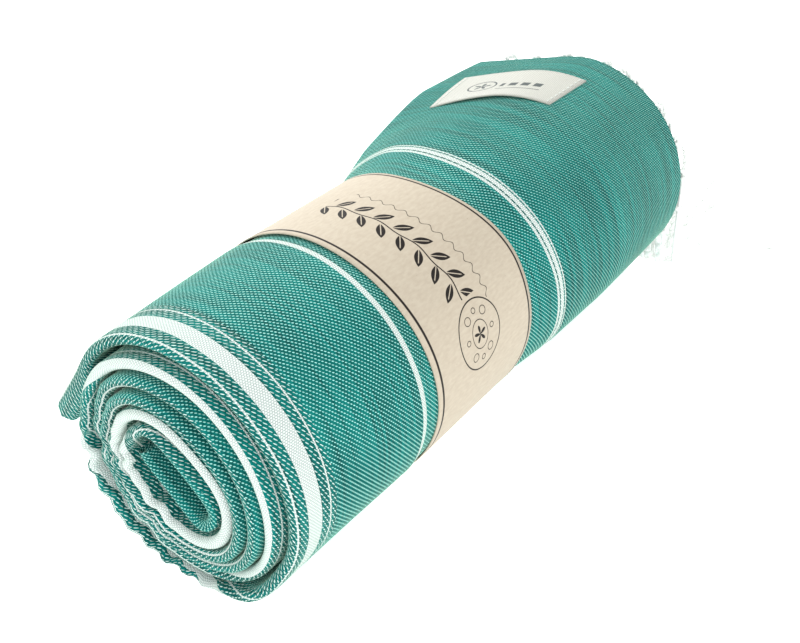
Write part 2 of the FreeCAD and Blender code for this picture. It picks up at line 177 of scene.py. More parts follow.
def cloth_points(x, depth):
    """Places points of the cloth: rows follow the roll, and columns give x and the height above
    the stack's middle."""
    x = np.broadcast_to(np.asarray(x, float)[None, :], (rows, len(x))).copy()
    depth = np.asarray(depth)[None, :] * row_tip[:, None]
    theta = row_theta[:, None]
    turn = (theta - LOOSE_END) / 360

    def lay(line, normal, height):
        return (line[:, None, 0] + normal[:, None, 0] * height,
                line[:, None, 1] + normal[:, None, 1] * height)

    mid_y, mid_z = lay(row_line, row_out, depth)
    fuller = 1 + 1.1 * smooth(LOOSE_END - 2, LOOSE_END - 22, row_theta)[:, None]
    near_y, near_z = lay(near_line, near_normal, depth * fuller - (fuller - 1) * STACK / 2)
    far_y, far_z = lay(far_line, far_normal, depth)
    near_share = smooth(-60, -99, x)
    far_share = np.clip((x + 1) / 77, 0, 1)
    far_share = far_share + 0.3 * (smooth(-1, 70, x) - far_share)
    y = mid_y + (near_y - mid_y) * near_share + (far_y - mid_y) * far_share
    z = mid_z + (near_z - mid_z) * near_share + (far_z - mid_z) * far_share

    # The near end's lower left is loose: the first turn stands away and its rim is ragged.
    radius = np.hypot(y, z)
    at_near_end = smooth(-72, -110, x)
    bulge = np.interp(theta, [236, 262, 282, 302, 322, 344, 366, 384],
                      [1.8, 1.2, 1.4, 2.2, 2.8, 1.9, 0.4, 0]) * at_near_end
    bulge = bulge * smooth(205, 236, theta)
    ragged = smooth(240, 262, theta) * smooth(372, 350, theta) * smooth(-96, -112, x)
    wave = np.sin(np.radians(theta) * 27) * 0.7 + np.sin(np.radians(theta) * 15.3 + 1) * 0.8
    bulge = bulge + ragged * wave * 0.9
    facing = (theta + 120) % 360
    pleated = smooth(25, 60, facing) * smooth(165, 120, facing) * smooth(1.1, 1.3, turn)
    pleated = pleated * smooth(5.3, 5.0, turn) * smooth(-86, -110, x)
    pleats = np.sin(np.radians(theta) * 20 + 1.1) * 0.9 + np.sin(np.radians(theta) * 13) * 0.8
    bulge = bulge + pleated * pleats
    y = y * (1 + bulge / radius)
    z = z * (1 + bulge / radius)

    # Inner turns stand out a little further at the near end.
    out = np.interp(theta, [34, 200, 236, 270, 302, 330, 350, 372, 394, 450, 540, 600, 660, 710,
                            754, 810, 900, 1000, 1060, 1114, 1170, 1260, 1380, 1474, 1834, 2150],
                    [0, 0.6, 4.0, 3.6, 3.6, 4.0, 3.8, 3.4, 3, 3.6, 4.2, 3.2, 2.4, 2.6, 3.6, 5.2, 6,
                     4.6, 4.4, 5.2, 6.6, 7, 5.6, 6.2, 6.4, 5])
    out = out + 0.35 * np.sin(theta * 0.05) * smooth(0.9, 1.2, turn)
    out = out + ragged * np.sin(np.radians(theta) * 33 + 2) * 0.7
    x = x - out * smooth(-20, -112, x)

    # The far end is pulled askew, so that its rim runs back at the crease.
    skew = np.interp(x, [-5, 15, 112], [0, 0.15, 0.3])
    x = x - skew * np.clip(y, 0, None) * smooth(150, 100, theta)

    z = z + AXIS_Z
    floor = 0.8 - 0.8 * (smooth(14, 40, x) + smooth(-56, -70, x))
    y, z = settled(y, z, x, floor)
    return np.stack([x, y + AXIS_Y, z], -1)


# Columns of the cloth: eight layers and the seven folds between them.
PANEL = 222.5                        # the cloth's length folded in half three times


def level(index):
    """Height of a layer above the stack's middle; layer 0 is the outermost."""
    return STACK / 2 - (index + 0.5) * LAYER


stations = np.array([-100, -88, -78, -68, -60, -54, -48, -20, 8, 13, 22, 31, 45, 62, 78, 95.0])
column_x, column_level = [], []


def add_layer(places, index):
    column_x.extend(places)
    column_level.extend([level(index)] * len(places))


def add_fold(before, after, side, steps):
    """A fold from one layer to another; nested folds are set back by the one outside them."""
    radius = abs(after - before) * LAYER / 2
    middle = (level(before) + level(after)) / 2
    turn = 1 if after > before else -1
    for angle in np.linspace(90, -90, steps) * turn:
        a = math.radians(angle)
        column_x.append(side * (HALF_LENGTH - STACK / 2 + radius * math.cos(a)))
        column_level.append(middle + radius * math.sin(a))


straight = HALF_LENGTH - STACK / 2
visible = np.concatenate([np.linspace(HALF_LENGTH, 10, 34), np.linspace(6.5, -50, 14),
                          np.linspace(-53, -straight + 2, 22)])
add_layer(visible, 0)
add_fold(0, 7, -1, 11)
inside = np.concatenate([np.linspace(-straight + 1.5, -92, 9), stations[2:]])
add_layer(inside, 7)
add_fold(7, 4, 1, 4)
for before, after, steps in ((4, 3, 3), (3, 2, 3), (2, 5, 4), (5, 6, 3), (6, 1, 5)):
    runs_back = before % 2 == 0
    add_layer(stations[::-1] if runs_back else stations, before)
    add_fold(before, after, -1 if runs_back else 1, steps)
add_layer(np.append(stations, HALF_LENGTH), 1)
column_x = np.array(column_x)
column_level = np.array(column_level)
columns = len(column_x)
column_run = np.concatenate([[0], np.cumsum(np.hypot(np.diff(column_x), np.diff(column_level)))])
crest = column_run[len(visible) + 5]
column_w = column_run * PANEL / crest

positions = cloth_points(column_x, column_level)

# The fold doesn't follow one thread: the stripes wander over its crest from turn to turn.
wander = np.interp(row_theta, [225, 250, 266, 290, 325, 345, 358, 375, 394, 410, 450, 540, 585,
                               620, 690, 754, 1114, 1380, 1440, 1474, 1800, 1850, 1950],
                   [0, 7, 13.5, 15.4, 15.6, 10, 4.5, 4, 7, 9.5, 9.5, 10, 11.5, 15, 16, 16.5,
                    16.8, 16.5, 12, 9.5, 9, 2, -4])
near_crest = smooth(105, 20, np.abs(column_w - PANEL))
cloth_w = column_w[None, :] - wander[:, None] * near_crest[None, :]
# Beyond the band the cloth was rolled a little askew: its stripes lean evenly down the front,
# come back underneath, and lean again over the shoulder.
LEAN_FROM, LEAN_TO, LEAN_PER_DEGREE = 65, 196, 0.084
LEAN_LOST, SHOULDER_LEAN = 6.0, 9.0
askew = (np.clip(row_theta, LEAN_FROM, LEAN_TO) - LEAN_FROM) * LEAN_PER_DEGREE
askew = askew - LEAN_LOST * smooth(LEAN_TO, LOOSE_END + 360, row_theta)
askew = askew + SHOULDER_LEAN * smooth(SHOULDER + 20, SHOULDER - 26, row_theta)
beyond_band = smooth(-40, 0, column_x) * smooth(112, 60, column_x)
cloth_w = cloth_w + askew[:, None] * beyond_band[None, :]
cloth_s = np.broadcast_to(row_run[:, None], cloth_w.shape)


def linked(name, data):
    """Puts a new object with this data into the scene."""
    thing = bpy.data.objects.new(name, data)
    bpy.context.scene.collection.objects.link(thing)
    return thing


def uv_mesh(name, points, faces, uv_name, corners, rounded=True):
    """A mesh with its own UV map: points and the UV of each face's corners are in millimetres."""
    mesh = bpy.data.meshes.new(name)
    mesh.from_pydata((np.asarray(points) * MM).tolist(), [], faces)
    layer = mesh.uv_layers.new(name=uv_name)
    layer.data.foreach_set("uv", (np.asarray(corners) * MM).ravel().astype(np.float32))
    mesh.polygons.foreach_set("use_smooth", [rounded] * len(mesh.polygons))
    return mesh


def cloth_piece(name, keep, shrink=None):
    """The cloth's faces that keep says, with the cloth's own coordinates as their UV."""
    grid = np.arange(rows * columns).reshape(rows, columns)
    quads = np.stack([grid[:-1, :-1], grid[:-1, 1:], grid[1:, 1:], grid[1:, :-1]], -1)[keep]
    used, where = np.unique(quads.ravel(), return_inverse=True)
    place = positions if shrink is None else positions - shrink
    corners = np.stack([cloth_w, cloth_s], -1).reshape(-1, 2)[quads.ravel()]
    return linked(name, uv_mesh(name, place.reshape(-1, 3)[used], where.reshape(-1, 4).tolist(),
                                "cloth", corners))


# The corners are pieces of their own, each tucked a little way under the cloth it hangs from.
NEAR_CUT, FAR_CUT, TUCKED, TUCK_DEPTH = -56, 13, 4.0, 0.15
middle_x = (column_x[:-1] + column_x[1:])[None, :] / 2
middle_run = (row_run[:-1] + row_run[1:])[:, None] / 2
near_corner_faces = (middle_x < NEAR_CUT) & (middle_run < run_at_loose_end)
far_corner_faces = (middle_x > FAR_CUT) & (middle_run < crease_run)
near_piece_faces = (middle_x < NEAR_CUT) & (middle_run < run_at_loose_end + TUCKED)
far_piece_faces = (middle_x > FAR_CUT) & (middle_run < crease_run + TUCKED)
roll_cloth = cloth_piece("towel_roll_cloth", ~(near_corner_faces | far_corner_faces))

inward = np.gradient(positions, axis=0)
across = np.gradient(positions, axis=1)
outward = np.cross(across, inward)
outward /= np.maximum(np.linalg.norm(outward, axis=2), 1e-9)[:, :, None]
tuck_near = smooth(run_at_loose_end - 1, run_at_loose_end + 1, row_run)[:, None, None] * TUCK_DEPTH
tuck_far = smooth(crease_run - 1, crease_run + 1, row_run)[:, None, None] * TUCK_DEPTH
near_corner_cloth = cloth_piece("towel_near_corner", near_piece_faces, outward * tuck_near)
far_corner_cloth = cloth_piece("towel_far_corner", far_piece_faces, outward * tuck_far)


# The weave: teal weft over white warp, whose floats show as rows of pale flecks.
def linear(red, green, blue):
    """A display colour, 0 to 255, as the linear colour that materials take."""
    parts = [c / 255 for c in (red, green, blue)]
    parts = [c / 12.92 if c <= 0.04045 else ((c + 0.055) / 1.055) ** 2.4 for c in parts]
    return (*parts, 1.0)


def attach(tree, socket, value):
    """Gives a socket a number, a colour or another node's output."""
    if isinstance(value, bpy.types.NodeSocket):
        tree.links.new(value, socket)
    else:
        socket.default_value = value


def math_of(tree, operation, *values):
    node = tree.nodes.new("ShaderNodeMath")
    node.operation = operation
    for socket, value in zip(node.inputs, values):
        attach(tree, socket, value)
    return node.outputs[0]


def step_of(tree, value, low, high):
    """Runs smoothly from 0 at low to 1 at high, or back where high is the smaller."""
    node = tree.nodes.new("ShaderNodeMapRange")
    node.interpolation_type = "SMOOTHSTEP"
    attach(tree, node.inputs[0], value)
    backwards = low > high
    node.inputs[1].default_value, node.inputs[2].default_value = sorted((low, high))
    node.inputs[3].default_value = 1.0 if backwards else 0.0
    node.inputs[4].default_value = 0.0 if backwards else 1.0
    return node.outputs[0]


def mixed(tree, share, first, second, way="MIX"):
    node = tree.nodes.new("ShaderNodeMix")
    node.data_type = "RGBA"
    node.blend_type = way
    attach(tree, node.inputs[0], share)
    attach(tree, node.inputs[6], first)
    attach(tree, node.inputs[7], second)
    return node.outputs[2]


def noise_of(tree, vector, scale, detail=2.0, stretch=(1, 1, 1)):
    mapping = tree.nodes.new("ShaderNodeMapping")
    mapping.inputs["Scale"].default_value = stretch
    attach(tree, mapping.inputs["Vector"], vector)
    node = tree.nodes.new("ShaderNodeTexNoise")
    node.inputs["Scale"].default_value = scale
    node.inputs["Detail"].default_value = detail
    tree.links.new(mapping.outputs[0], node.inputs["Vector"])
    return node.outputs["Fac"]


def new_group(name, inputs, outputs):
    """A shader node group with named inputs and outputs; returns it and its two ends."""
    group = bpy.data.node_groups.new(name, "ShaderNodeTree")
    for label, kind in inputs:
        group.interface.new_socket(name=label, in_out="INPUT", socket_type=kind)
    for label, kind in outputs:
        group.interface.new_socket(name=label, in_out="OUTPUT", socket_type=kind)
    return group, group.nodes.new("NodeGroupInput"), group.nodes.new("NodeGroupOutput")


def use_group(tree, group, **values):
    node = tree.nodes.new("ShaderNodeGroup")
    node.node_tree = group
    for label, value in values.items():
        attach(tree, node.inputs[label.replace("_", " ")], value)
    return node


def new_material(name, roughness=0.8, sheen=0.0, sheen_tint=(1, 1, 1, 1)):
    """A material with one Principled shader; returns it, its tree and the shader."""
    material = bpy.data.materials.new(name)
    material.use_nodes = True
    shader = material.node_tree.nodes["Principled BSDF"]
    shader.inputs["Roughness"].default_value = roughness
    shader.inputs["Sheen Weight"].default_value = sheen
    shader.inputs["Sheen Roughness"].default_value = 0.4
    shader.inputs["Sheen Tint"].default_value = sheen_tint
    shader.inputs["Specular IOR Level"].default_value = 0.25
    return material, material.node_tree, shader


def bump_to(tree, shader, height, distance, strength=1.0):
    node = tree.nodes.new("ShaderNodeBump")
    node.inputs["Strength"].default_value = strength
    node.inputs["Distance"].default_value = distance
    attach(tree, node.inputs["Height"], height)
    tree.links.new(node.outputs[0], shader.inputs["Normal"])


def colour_by(tree, shader, share, first, second):
    """Mixes the shader's Base Color from two colours."""
    tree.links.new(mixed(tree, share, first, second), shader.inputs["Base Color"])


def uv_in_mm(tree, name):
    """A piece's own UV map, and its two parts in millimetres."""
    node = tree.nodes.new("ShaderNodeUVMap")
    node.uv_map = name
    split = tree.nodes.new("ShaderNodeSeparateXYZ")
    tree.links.new(node.outputs[0], split.inputs[0])
    return (node.outputs[0], math_of(tree, "MULTIPLY", split.outputs[0], 1 / MM),
            math_of(tree, "MULTIPLY", split.outputs[1], 1 / MM))


FLOAT_WIDTH = 0.40                   # half a float's width, as a share of its thread's
floats, ends_in, ends_out = new_group(
    "warp_floats",
    [(label, "NodeSocketFloat") for label in ("Along", "Across", "Float length", "Thread width", "Step",
                                              "Lean", "Fullness")],
    [("Float", "NodeSocketFloat"), ("Height", "NodeSocketFloat")])
threads_in = math_of(floats, "DIVIDE", ends_in.outputs["Across"], ends_in.outputs["Thread width"])
thread = math_of(floats, "FLOOR", threads_in)
off_thread = math_of(floats, "SUBTRACT", math_of(floats, "FRACT", threads_in), 0.5)
floats_in = math_of(floats, "DIVIDE", ends_in.outputs["Along"], ends_in.outputs["Float length"])
floats_in = math_of(floats, "MULTIPLY_ADD", thread, ends_in.outputs["Step"], floats_in)
off_float = math_of(floats, "SUBTRACT", math_of(floats, "FRACT", floats_in), 0.5)
off_float = math_of(floats, "MULTIPLY_ADD", off_thread, ends_in.outputs["Lean"], off_float)
long_part = math_of(floats, "DIVIDE", off_float, ends_in.outputs["Fullness"])
long_part = math_of(floats, "MULTIPLY", long_part, long_part)
wide_part = math_of(floats, "DIVIDE", off_thread, FLOAT_WIDTH)
wide_part = math_of(floats, "MULTIPLY", wide_part, wide_part)
reach = math_of(floats, "ADD", long_part, wide_part)
floats.links.new(step_of(floats, reach, 1.0, 0.45), ends_out.inputs["Float"])
floats.links.new(step_of(floats, reach, 2.6, 0.0), ends_out.inputs["Height"])

GREEN_DEEP = linear(0, 78, 74)
GREEN_MID = linear(0, 124, 117)
FLOAT_PALE = linear(170, 242, 232)
HATCH_WHITE = linear(226, 249, 242)
WHITE_COTTON = linear(238, 245, 242)
WHITE_SHADE = linear(196, 210, 205)
CLOTH_LENGTH = 1780.0
# Stripes along the cloth, in millimetres from its raw edge: white, green hatched with white.
WHITE_BANDS = [(95.1, 95.9), (96.4, 98.2), (98.7, 99.5), (163.5, 165.7), (206.55, 207.45),
               (210.7, 216.0), (219.75, 220.65)]
HATCHED_BANDS = [(95.9, 96.4), (98.2, 98.7), (204.3, 206.55), (207.45, 210.7), (216.0, 219.75),
                 (220.65, 224.5)]
PATTERN_FROM, PATTERN_TO = 90.0, 230.0


def bands_mask(tree, position, bands):
    """1 inside any of the bands of the cloth, 0 outside."""
    ramp = tree.nodes.new("ShaderNodeValToRGB")
    ramp.color_ramp.interpolation = "CONSTANT"
    elements = ramp.color_ramp.elements
    elements[0].position, elements[0].color = 0.0, (0, 0, 0, 1)
    elements.remove(elements[1])
    for low, high in bands:
        for place, value in ((low, 1), (high, 0)):
            share = (place - PATTERN_FROM) / (PATTERN_TO - PATTERN_FROM)
            stop = elements.new(share)
            stop.color = (value, value, value, 1)
    attach(tree, ramp.inputs[0], position)
    return ramp.outputs[0]


towel_cotton, tree, shader = new_material("towel_cotton", 0.85, 0.7, linear(205, 255, 222))
shader.inputs["Specular IOR Level"].default_value = 0.12
shader.inputs["Sheen Roughness"].default_value = 0.2
uv, w_mm, s_mm = uv_in_mm(tree, "cloth")
drift = math_of(tree, "MULTIPLY_ADD", noise_of(tree, uv, 60, 1), 0.5, -0.25)
from_edge = math_of(tree, "MINIMUM", w_mm, math_of(tree, "SUBTRACT", CLOTH_LENGTH, w_mm))
from_edge = math_of(tree, "ADD", from_edge, drift)
position = math_of(tree, "DIVIDE", math_of(tree, "SUBTRACT", from_edge, PATTERN_FROM),
                   PATTERN_TO - PATTERN_FROM)
white = bands_mask(tree, position, WHITE_BANDS)
hatched = bands_mask(tree, position, HATCHED_BANDS)
ground = use_group(tree, floats, Along=w_mm, Across=s_mm, Float_length=1.35, Thread_width=0.80,
                   Step=0.5, Lean=0.45, Fullness=0.2)
slanted = math_of(tree, "MULTIPLY_ADD", w_mm, 0.45, s_mm)
hatch = use_group(tree, floats, Along=w_mm, Across=slanted, Float_length=1.6, Thread_width=1.2,
                  Step=0.5, Lean=0.6, Fullness=0.18)
ribs = use_group(tree, floats, Along=w_mm, Across=s_mm, Float_length=0.9, Thread_width=0.6,
                 Step=0.5, Lean=0.0, Fullness=0.36)
weft_shade = noise_of(tree, uv, 900, 1, (1, 0.02, 1))
blotch = noise_of(tree, uv, 45, 3)
shade = math_of(tree, "MULTIPLY_ADD", weft_shade, 0.7, math_of(tree, "MULTIPLY", blotch, 0.3))
green = mixed(tree, step_of(tree, shade, 0.3, 0.7), GREEN_DEEP, GREEN_MID)
fleck = mixed(tree, hatched, ground.outputs["Float"], hatch.outputs["Float"])
uneven = math_of(tree, "MULTIPLY_ADD", noise_of(tree, uv, 700, 1), 0.9, 0.35)
fleck = math_of(tree, "MULTIPLY", fleck, math_of(tree, "MINIMUM", uneven, 1.0))
# Towards the raw edge the warp was beaten in harder, and its floats show less.
worn_in = math_of(tree, "MULTIPLY_ADD", step_of(tree, from_edge, 70.0, 125.0), 0.38, 0.62)
fleck = math_of(tree, "MULTIPLY", fleck, worn_in)
float_colour = mixed(tree, hatched, FLOAT_PALE, HATCH_WHITE)
green = mixed(tree, fleck, green, float_colour)
cotton = mixed(tree, ribs.outputs["Float"], WHITE_SHADE, WHITE_COTTON)
colour_by(tree, shader, white, green, cotton)
height = mixed(tree, white, ground.outputs["Height"], ribs.outputs["Height"])
bump_to(tree, shader, height, 0.00022, 0.9)

for piece in (roll_cloth, near_corner_cloth, far_corner_cloth):
    piece.data.materials.append(towel_cotton)
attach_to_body(roll_cloth, "roll")
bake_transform(near_corner_cloth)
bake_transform(far_corner_cloth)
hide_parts("rolled_towel", "towel_shoulder")
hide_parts("near_flap")
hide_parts("far_flap")

# ==== The tassels ==================================================================================
# The warp ends at both raw edges, twisted in pairs and tied off in small knots with loose ends
# beyond. Fourteen hang or lie free here; the rest of the fringe is in the next section.
TASSEL_ROUTES = [
    [(112.5, 1.9, 2.6), (118, 1.9, 2.6), (124, 3, 1.5), (132, 5.5, 1.1), (142, 6.5, 1.1),
     (153, 4, 1.1), (165, 3.5, 1.5), (171, 4.5, 2.1)],
    [(112.5, -7.9, 2.4), (118.5, -7.9, 2.4), (126, -9.2, 1.3), (136, -12.5, 1.1), (147, -13, 1.1),
     (158, -10, 1.1), (169, -9.5, 1.4), (176, -11, 2.1)],
    [(112.5, -17.7, 2.9), (118, -17.7, 2.9), (125, -20, 1.5), (134, -24.5, 1.1), (145, -28, 1.1),
     (157, -28.5, 1.1), (169, -29.5, 1.1), (178, -31, 1.5), (184, -31.2, 2.1)],
    [(112.5, -26.9, 6.3), (117.5, -26.9, 6.3), (122.5, -28.6, 4.4), (128, -31, 2.2),
     (135, -34, 1.1), (144, -37, 1.1), (154, -38.3, 1.1), (164, -38.4, 1.5), (170, -38.8, 2.1)],
    [(112.5, -34.7, 12.3), (117.5, -34.7, 12.3), (122.5, -35.7, 9.6), (126.5, -36.8, 6.2),
     (131, -38, 2.6), (136.5, -40, 1.1), (141.2, -44.8, 1.1), (144.2, -51.8, 1.1),
     (146.5, -58.8, 1.2), (149.5, -64.8, 1.6), (152, -68.8, 2.1)],
    [(112.5, -26.2, 13), (117, -26.2, 13), (122, -26.4, 10.5), (126.5, -26.7, 7),
     (130.5, -27.8, 3.3), (136, -29.6, 1.1), (144, -32.2, 1.1), (153, -33.6, 1.1),
     (162, -33.8, 1.5), (167, -33.9, 2.1)],
    [(112.5, -7.9, 7.3), (117.5, -7.9, 7.3), (122.5, -10.9, 5.4), (128.5, -15, 2.4),
     (136, -18.5, 1.1), (146, -20, 1.1), (156, -20.2, 1.1), (164, -18.7, 1.5), (169.5, -17.5, 2.1)],
    [(112.5, 8, 11.5), (117.5, 8, 11.5), (122.3, 9, 8.7), (126, 10, 5.2), (130.5, 11.5, 2.3),
     (137, 13.5, 1.1), (146, 14.5, 1.1), (156, 13.5, 1.1), (164, 13, 1.5), (169, 13.5, 2.1)],
    [(112.5, -42.5, 58.1), (117, -42.5, 58.1), (121.2, -43.4, 55.4), (123.6, -43.9, 51.2),
     (124.4, -44.2, 45), (124.2, -44, 35), (123.6, -43.2, 25), (123.4, -42.8, 16)],
    [(112.5, -31.7, 72.1), (117, -31.7, 72.1), (121.4, -32.3, 69.6), (124.2, -32.8, 65.4),
     (125.2, -33.2, 59), (125, -33, 49), (124.4, -32.2, 37), (124, -31.6, 27), (123.8, -31.4, 20)],
    [(112.5, -16, 80.3), (117.2, -16, 80.3), (121.6, -16.6, 78), (124.4, -17.2, 73.8),
     (125.6, -17.6, 67.4), (125.4, -17.4, 57), (124.8, -16.6, 45), (124.4, -16, 35),
     (124.2, -15.8, 28)],
    [(112.5, 1.6, 81), (117, 1.6, 81), (121.2, 2.2, 78.6), (123.9, 2.8, 74.4), (125, 3.2, 68),
     (124.8, 3, 58), (124.2, 2.2, 46), (123.8, 1.6, 36), (123.6, 1.4, 29)],
    [(112.5, 31.6, 73.5), (117, 31.6, 73.5), (121, 32.6, 71), (123.4, 33.2, 66.8),
     (124.2, 33.5, 60.4), (124, 33.3, 51), (123.5, 32.6, 40), (123.2, 32.2, 31), (123, 32, 24)],
    [(112.5, 17.9, 39.1), (117, 17.9, 39.1), (120.9, 18.5, 36.3), (123, 19, 32),
     (123.8, 19.3, 25.8), (123.9, 19.4, 18), (124.8, 20, 10.8), (127.6, 21.6, 4.8),
     (132.6, 24, 1.6), (138.6, 26.2, 1.3), (143.5, 27.6, 2.1)],
]
KNOT_LENGTH = 4.2
TAIL_LENGTH = 7.6


def frame_along(line):
    """A line's way and two directions square to it at each point, turning as little as they can."""
    way = np.gradient(line, axis=0)
    way /= np.linalg.norm(way, axis=1)[:, None]
    side = np.cross(way[0], (0, 0, 1.0) if abs(way[0][2]) < 0.9 else (0, 1.0, 0))
    sides = []
    for along in way:
        side = side - along * np.dot(side, along)
        side = side / np.linalg.norm(side)
        sides.append(side)
    sides = np.array(sides)
    return way, sides, np.cross(way, sides)


def tube(points, radius, sides=6):
    """Vertices and faces of a closed tube along some points, in metres."""
    points = np.asarray(points, float)
    _, side, other = frame_along(points)
    angle = np.linspace(0, 2 * math.pi, sides, endpoint=False)[None, :, None]
    size = np.broadcast_to(radius, len(points))[:, None, None]
    round_it = side[:, None] * np.cos(angle) + other[:, None] * np.sin(angle)
    rings = (points[:, None] + round_it * size).reshape(-1, 3)
    count = len(points)
    faces = [(i * sides + j, i * sides + (j + 1) % sides,
              (i + 1) * sides + (j + 1) % sides, (i + 1) * sides + j)
             for i in range(count - 1) for j in range(sides)]
    faces.append(tuple(reversed(range(sides))))
    faces.append(tuple((count - 1) * sides + j for j in range(sides)))
    return rings, faces


def mesh_of_tubes(name, tubes, material):
    verts, faces = [], []
    for tube_verts, tube_faces in tubes:
        base = len(verts)
        verts.extend(tube_verts.tolist())
        faces.extend(tuple(i + base for i in face) for face in tube_faces)
    mesh = bpy.data.meshes.new(name)
    mesh.from_pydata(verts, [], faces)
    mesh.polygons.foreach_set("use_smooth", [True] * len(mesh.polygons))
    mesh.materials.append(material)
    return linked(name, mesh)


def curve_of(name, lines, resolution=8):
    """A curve of smooth splines, each controlled by a line of points in millimetres."""
    curve = bpy.data.curves.new(name, "CURVE")
    curve.dimensions = "3D"
    for points in lines:
        spline = curve.splines.new("NURBS")
        spline.points.add(len(points) - 1)
        for place, point in zip(spline.points, points):
            place.co = (*(c * MM for c in point), 1)
        spline.order_u = 3
        spline.use_endpoint_u = True
        spline.resolution_u = resolution
    return curve


def finished_mesh(holder):
    """The mesh that an object gives once its modifiers have run."""
    bpy.context.view_layer.update()
    return bpy.data.meshes.new_from_object(
        holder.evaluated_get(bpy.context.evaluated_depsgraph_get()))


POINT_STEP = 0.9                     # between the points of a tassel's yarn


def route_line(name, points):
    """The smooth line that a route's points control, as even points in metres, and its length."""
    holder = linked(name + "_line", curve_of(name + "_line", [points], 10))
    line = finished_mesh(holder)
    found = np.array([tuple(v.co) for v in line.vertices])
    bpy.data.objects.remove(holder)
    bpy.data.meshes.remove(line)
    run = np.concatenate([[0], np.cumsum(np.linalg.norm(np.diff(found, axis=0), axis=1))])
    even = np.linspace(0, run[-1], int(run[-1] / (POINT_STEP * MM)) + 1)
    return np.stack([np.interp(even, run, found[:, i]) for i in range(3)], -1), float(run[-1])


def place_of(tree):
    return tree.nodes.new("ShaderNodeTexCoord").outputs["Object"]


fringe_yarn, tree, shader = new_material("fringe_yarn", 0.85, 0.3)
fibres = noise_of(tree, place_of(tree), 2600, 3, (1, 1, 0.4))
colour_by(tree, shader, step_of(tree, fibres, 0.35, 0.65), linear(230, 236, 232),
          linear(250, 252, 249))
bump_to(tree, shader, fibres, 0.0002, 0.6)

PLY_RADIUS, PLY_OFFSET, TWIST_LENGTH = 0.62 * MM, 0.45 * MM, 6.2 * MM
KNOT_ACROSS, KNOT_ALONG, KNOT_UP = 0.46 * MM, 0.52 * MM, 0.60 * MM
TAILS, TAIL_STEPS, TAIL_ROOT, TAIL_TIP = 7, 7, 0.34 * MM, 0.20 * MM
draw = np.random.default_rng(7)
for number, route in enumerate(TASSEL_ROUTES, 1):
    name = "tassel_%02d" % number
    line, length = route_line(name, route)
    way, side, other = frame_along(line)
    phase = np.linspace(0, length / TWIST_LENGTH * 2 * math.pi, len(line))[:, None]
    plies = []
    for start in (0, math.pi):
        strand = line + (side * np.cos(phase + start) + other * np.sin(phase + start)) * PLY_OFFSET
        plies.append(tube(strand, PLY_RADIUS))
    yarn = mesh_of_tubes(name + "_yarn", plies, fringe_yarn)

    # A small overhand knot, then the loose ends of the yarn.
    end, along, across, upward = line[-1], way[-1], side[-1], other[-1]
    t = np.linspace(0, 2 * math.pi, 40)
    knot_line = (end + along * KNOT_LENGTH * MM * 0.5
                 + np.outer(np.sin(t) + 2 * np.sin(2 * t), across) * KNOT_ACROSS
                 + np.outer(np.cos(t) - 2 * np.cos(2 * t), along) * KNOT_ALONG
                 + np.outer(-np.sin(3 * t), upward) * KNOT_UP)
    parts = [tube(knot_line, PLY_RADIUS)]
    for strand in range(TAILS):
        a = 2 * math.pi * strand / TAILS + draw.uniform(-0.3, 0.3)
        flare = draw.uniform(0.25, 1.25)
        reach = draw.uniform(0.75, 1.0) * TAIL_LENGTH
        step = np.linspace(0, 1, TAIL_STEPS)[:, None]
        tail = (end + along * (KNOT_LENGTH * 0.6 + step * reach) * MM
                + (across * math.cos(a) + upward * math.sin(a)) * (0.35 + flare * step ** 1.5) * MM)
        tail[:, 2] = np.maximum(tail[:, 2], 0.4 * MM)
        parts.append(tube(tail, np.linspace(TAIL_ROOT, TAIL_TIP, TAIL_STEPS), 5))
    knot = mesh_of_tubes("knot_%02d_tied" % number, parts, fringe_yarn)
    for piece, node in ((yarn, name), (knot, "knot_%02d" % number)):
        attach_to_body(piece, "roll")
        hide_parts(node)


# ==== The rest of the fringe =======================================================================
# The same twisted warp ends all along both raw edges, between the tassels above. They are one
# set of yarns, sewn to nothing: each is the cloth's own warp, running on out of the weave.
def geometry_tree(name, inputs):
    """An empty Geometry Nodes tree with a geometry in and out and named inputs."""
    tree = bpy.data.node_groups.new(name, "GeometryNodeTree")
    tree.interface.new_socket(name="Geometry", in_out="INPUT", socket_type="NodeSocketGeometry")
    for label, kind, value in inputs:
        socket = tree.interface.new_socket(name=label, in_out="INPUT", socket_type=kind)
        if value is not None:
            socket.default_value = value
    tree.interface.new_socket(name="Geometry", in_out="OUTPUT", socket_type="NodeSocketGeometry")
    return tree, tree.nodes.new("NodeGroupInput"), tree.nodes.new("NodeGroupOutput")


def node_of(tree, kind, **values):
    """A new node, with its named inputs given numbers or other nodes' outputs."""
    node = tree.nodes.new(kind)
    for label, value in values.items():
        attach(tree, node.inputs[label.replace("_", " ")], value)
    return node


def end_tree(tree, geometry, material, ends):
    """Makes a tree's instances real, coats them and sends them out."""
    made_real = node_of(tree, "GeometryNodeRealizeInstances", Geometry=geometry)
    coated = node_of(tree, "GeometryNodeSetMaterial", Geometry=made_real.outputs[0],
                     Material=material)
    tree.links.new(coated.outputs[0], ends.inputs[0])


def grown_piece(name, curve, tree, **values):
    """Runs a Geometry Nodes tree on a curve and returns the result as a plain mesh."""
    holder = linked(name + "_path", curve)
    modifier = holder.modifiers.new("grow", "NODES")
    modifier.node_group = tree
    for item in tree.interface.items_tree:
        key = item.name.replace(" ", "_")
        if item.in_out == "INPUT" and key in values:
            modifier[item.identifier] = values[key]
    mesh = finished_mesh(holder)
    mesh.name = name
    holder.modifiers.remove(modifier)
    bpy.data.objects.remove(holder)
    return linked(name, mesh)


